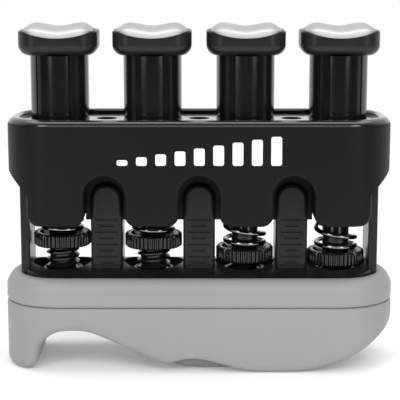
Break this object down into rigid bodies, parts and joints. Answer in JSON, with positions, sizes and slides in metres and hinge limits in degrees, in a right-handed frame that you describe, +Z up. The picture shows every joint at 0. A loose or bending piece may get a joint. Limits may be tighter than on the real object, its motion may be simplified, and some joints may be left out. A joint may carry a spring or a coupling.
{
  "type": "finger exerciser",
  "caption": "Hand-held finger exerciser: sprung plungers with saddle buttons over a contoured palm grip, each with its own thumbwheel to set the spring's preload.",
  "frame": {"origin": "on the surface that the grip rests on, midway along the row of fingers", "axes": "+X along the row of fingers, +Y away from the front face, +Z up towards the finger pads"},
  "size_m": [0.0844, 0.0268, 0.074],
  "materials": {
    "grip_grey": "soft-touch satin",
    "frame_black": "semi-gloss moulded",
    "housing_black": "satin, slightly soft-touch",
    "plunger_black": "polished moulded",
    "button_black": "semi-gloss moulded",
    "pad_grey": "smooth soft elastomer",
    "adjuster_black": "gloss moulded",
    "spring_wire": "black oxide wire",
    "screw_black": "black oxide",
    "screw_steel": "zinc plated"
  },
  "bodies": {
    "root": {"grip_lower_shell": "grip_grey", "grip_upper_shell": "grip_grey", "frame": "frame_black", "housing": "housing_black", "housing_screws": "screw_black", "frame_screws": "screw_steel"},
    "piston_1": {"plunger_1": "plunger_black", "button_1": "button_black", "finger_pad_1": "pad_grey"},
    "coil_1": {"spring_1": "spring_wire"},
    "thumbwheel_1": {"adjuster_1": "adjuster_black"},
    "piston_2": {"plunger_2": "plunger_black", "button_2": "button_black", "finger_pad_2": "pad_grey"},
    "coil_2": {"spring_2": "spring_wire"},
    "thumbwheel_2": {"adjuster_2": "adjuster_black"},
    "piston_3": {"plunger_3": "plunger_black", "button_3": "button_black", "finger_pad_3": "pad_grey"},
    "coil_3": {"spring_3": "spring_wire"},
    "thumbwheel_3": {"adjuster_3": "adjuster_black"},
    "piston_4": {"plunger_4": "plunger_black", "button_4": "button_black", "finger_pad_4": "pad_grey"},
    "coil_4": {"spring_4": "spring_wire"},
    "thumbwheel_4": {"adjuster_4": "adjuster_black"}
  },
  "joints": [
    {"name": "press_1", "type": "slide", "parent": "root", "child": "piston_1", "axis": [0, 0, -1], "range_m": [0, 0.012], "stiffness_N_per_m": 600, "springref_m": -0.008, "deforming": ["spring_1"]},
    {"name": "lift_1", "type": "slide", "parent": "root", "child": "coil_1", "axis": [0, 0, 1], "range_m": [-0.0047, 0.0018]},
    {"name": "turn_1", "type": "hinge", "parent": "coil_1", "child": "thumbwheel_1", "pos_m": [-0.03, 0, 0.0256], "axis": [0, 0, 1], "range_deg": [-1128.5, 432.5]},
    {"name": "press_2", "type": "slide", "parent": "root", "child": "piston_2", "axis": [0, 0, -1], "range_m": [0, 0.012], "stiffness_N_per_m": 600, "springref_m": -0.008, "deforming": ["spring_2"]},
    {"name": "lift_2", "type": "slide", "parent": "root", "child": "coil_2", "axis": [0, 0, 1], "range_m": [-0.00435, 0.00215]},
    {"name": "turn_2", "type": "hinge", "parent": "coil_2", "child": "thumbwheel_2", "pos_m": [-0.01, 0, 0.02525], "axis": [0, 0, 1], "range_deg": [-1044.5, 516.5]},
    {"name": "press_3", "type": "slide", "parent": "root", "child": "piston_3", "axis": [0, 0, -1], "range_m": [0, 0.012], "stiffness_N_per_m": 600, "springref_m": -0.008, "deforming": ["spring_3"]},
    {"name": "lift_3", "type": "slide", "parent": "root", "child": "coil_3", "axis": [0, 0, 1], "range_m": [-0.00145, 0.00505]},
    {"name": "turn_3", "type": "hinge", "parent": "coil_3", "child": "thumbwheel_3", "pos_m": [0.01, 0, 0.02235], "axis": [0, 0, 1], "range_deg": [-348.5, 1212.5]},
    {"name": "press_4", "type": "slide", "parent": "root", "child": "piston_4", "axis": [0, 0, -1], "range_m": [0, 0.012], "stiffness_N_per_m": 600, "springref_m": -0.008, "deforming": ["spring_4"]},
    {"name": "lift_4", "type": "slide", "parent": "root", "child": "coil_4", "axis": [0, 0, 1], "range_m": [-0.0007, 0.0058]},
    {"name": "turn_4", "type": "hinge", "parent": "coil_4", "child": "thumbwheel_4", "pos_m": [0.03, 0, 0.0216], "axis": [0, 0, 1], "range_deg": [-168.5, 1392.5]}
  ],
  "couplings": [
    {"joint": "turn_1", "follows": "lift_1", "rad_per_m": 4188.8},
    {"joint": "turn_2", "follows": "lift_2", "rad_per_m": 4188.8},
    {"joint": "turn_3", "follows": "lift_3", "rad_per_m": 4188.8},
    {"joint": "turn_4", "follows": "lift_4", "rad_per_m": 4188.8}
  ]
}
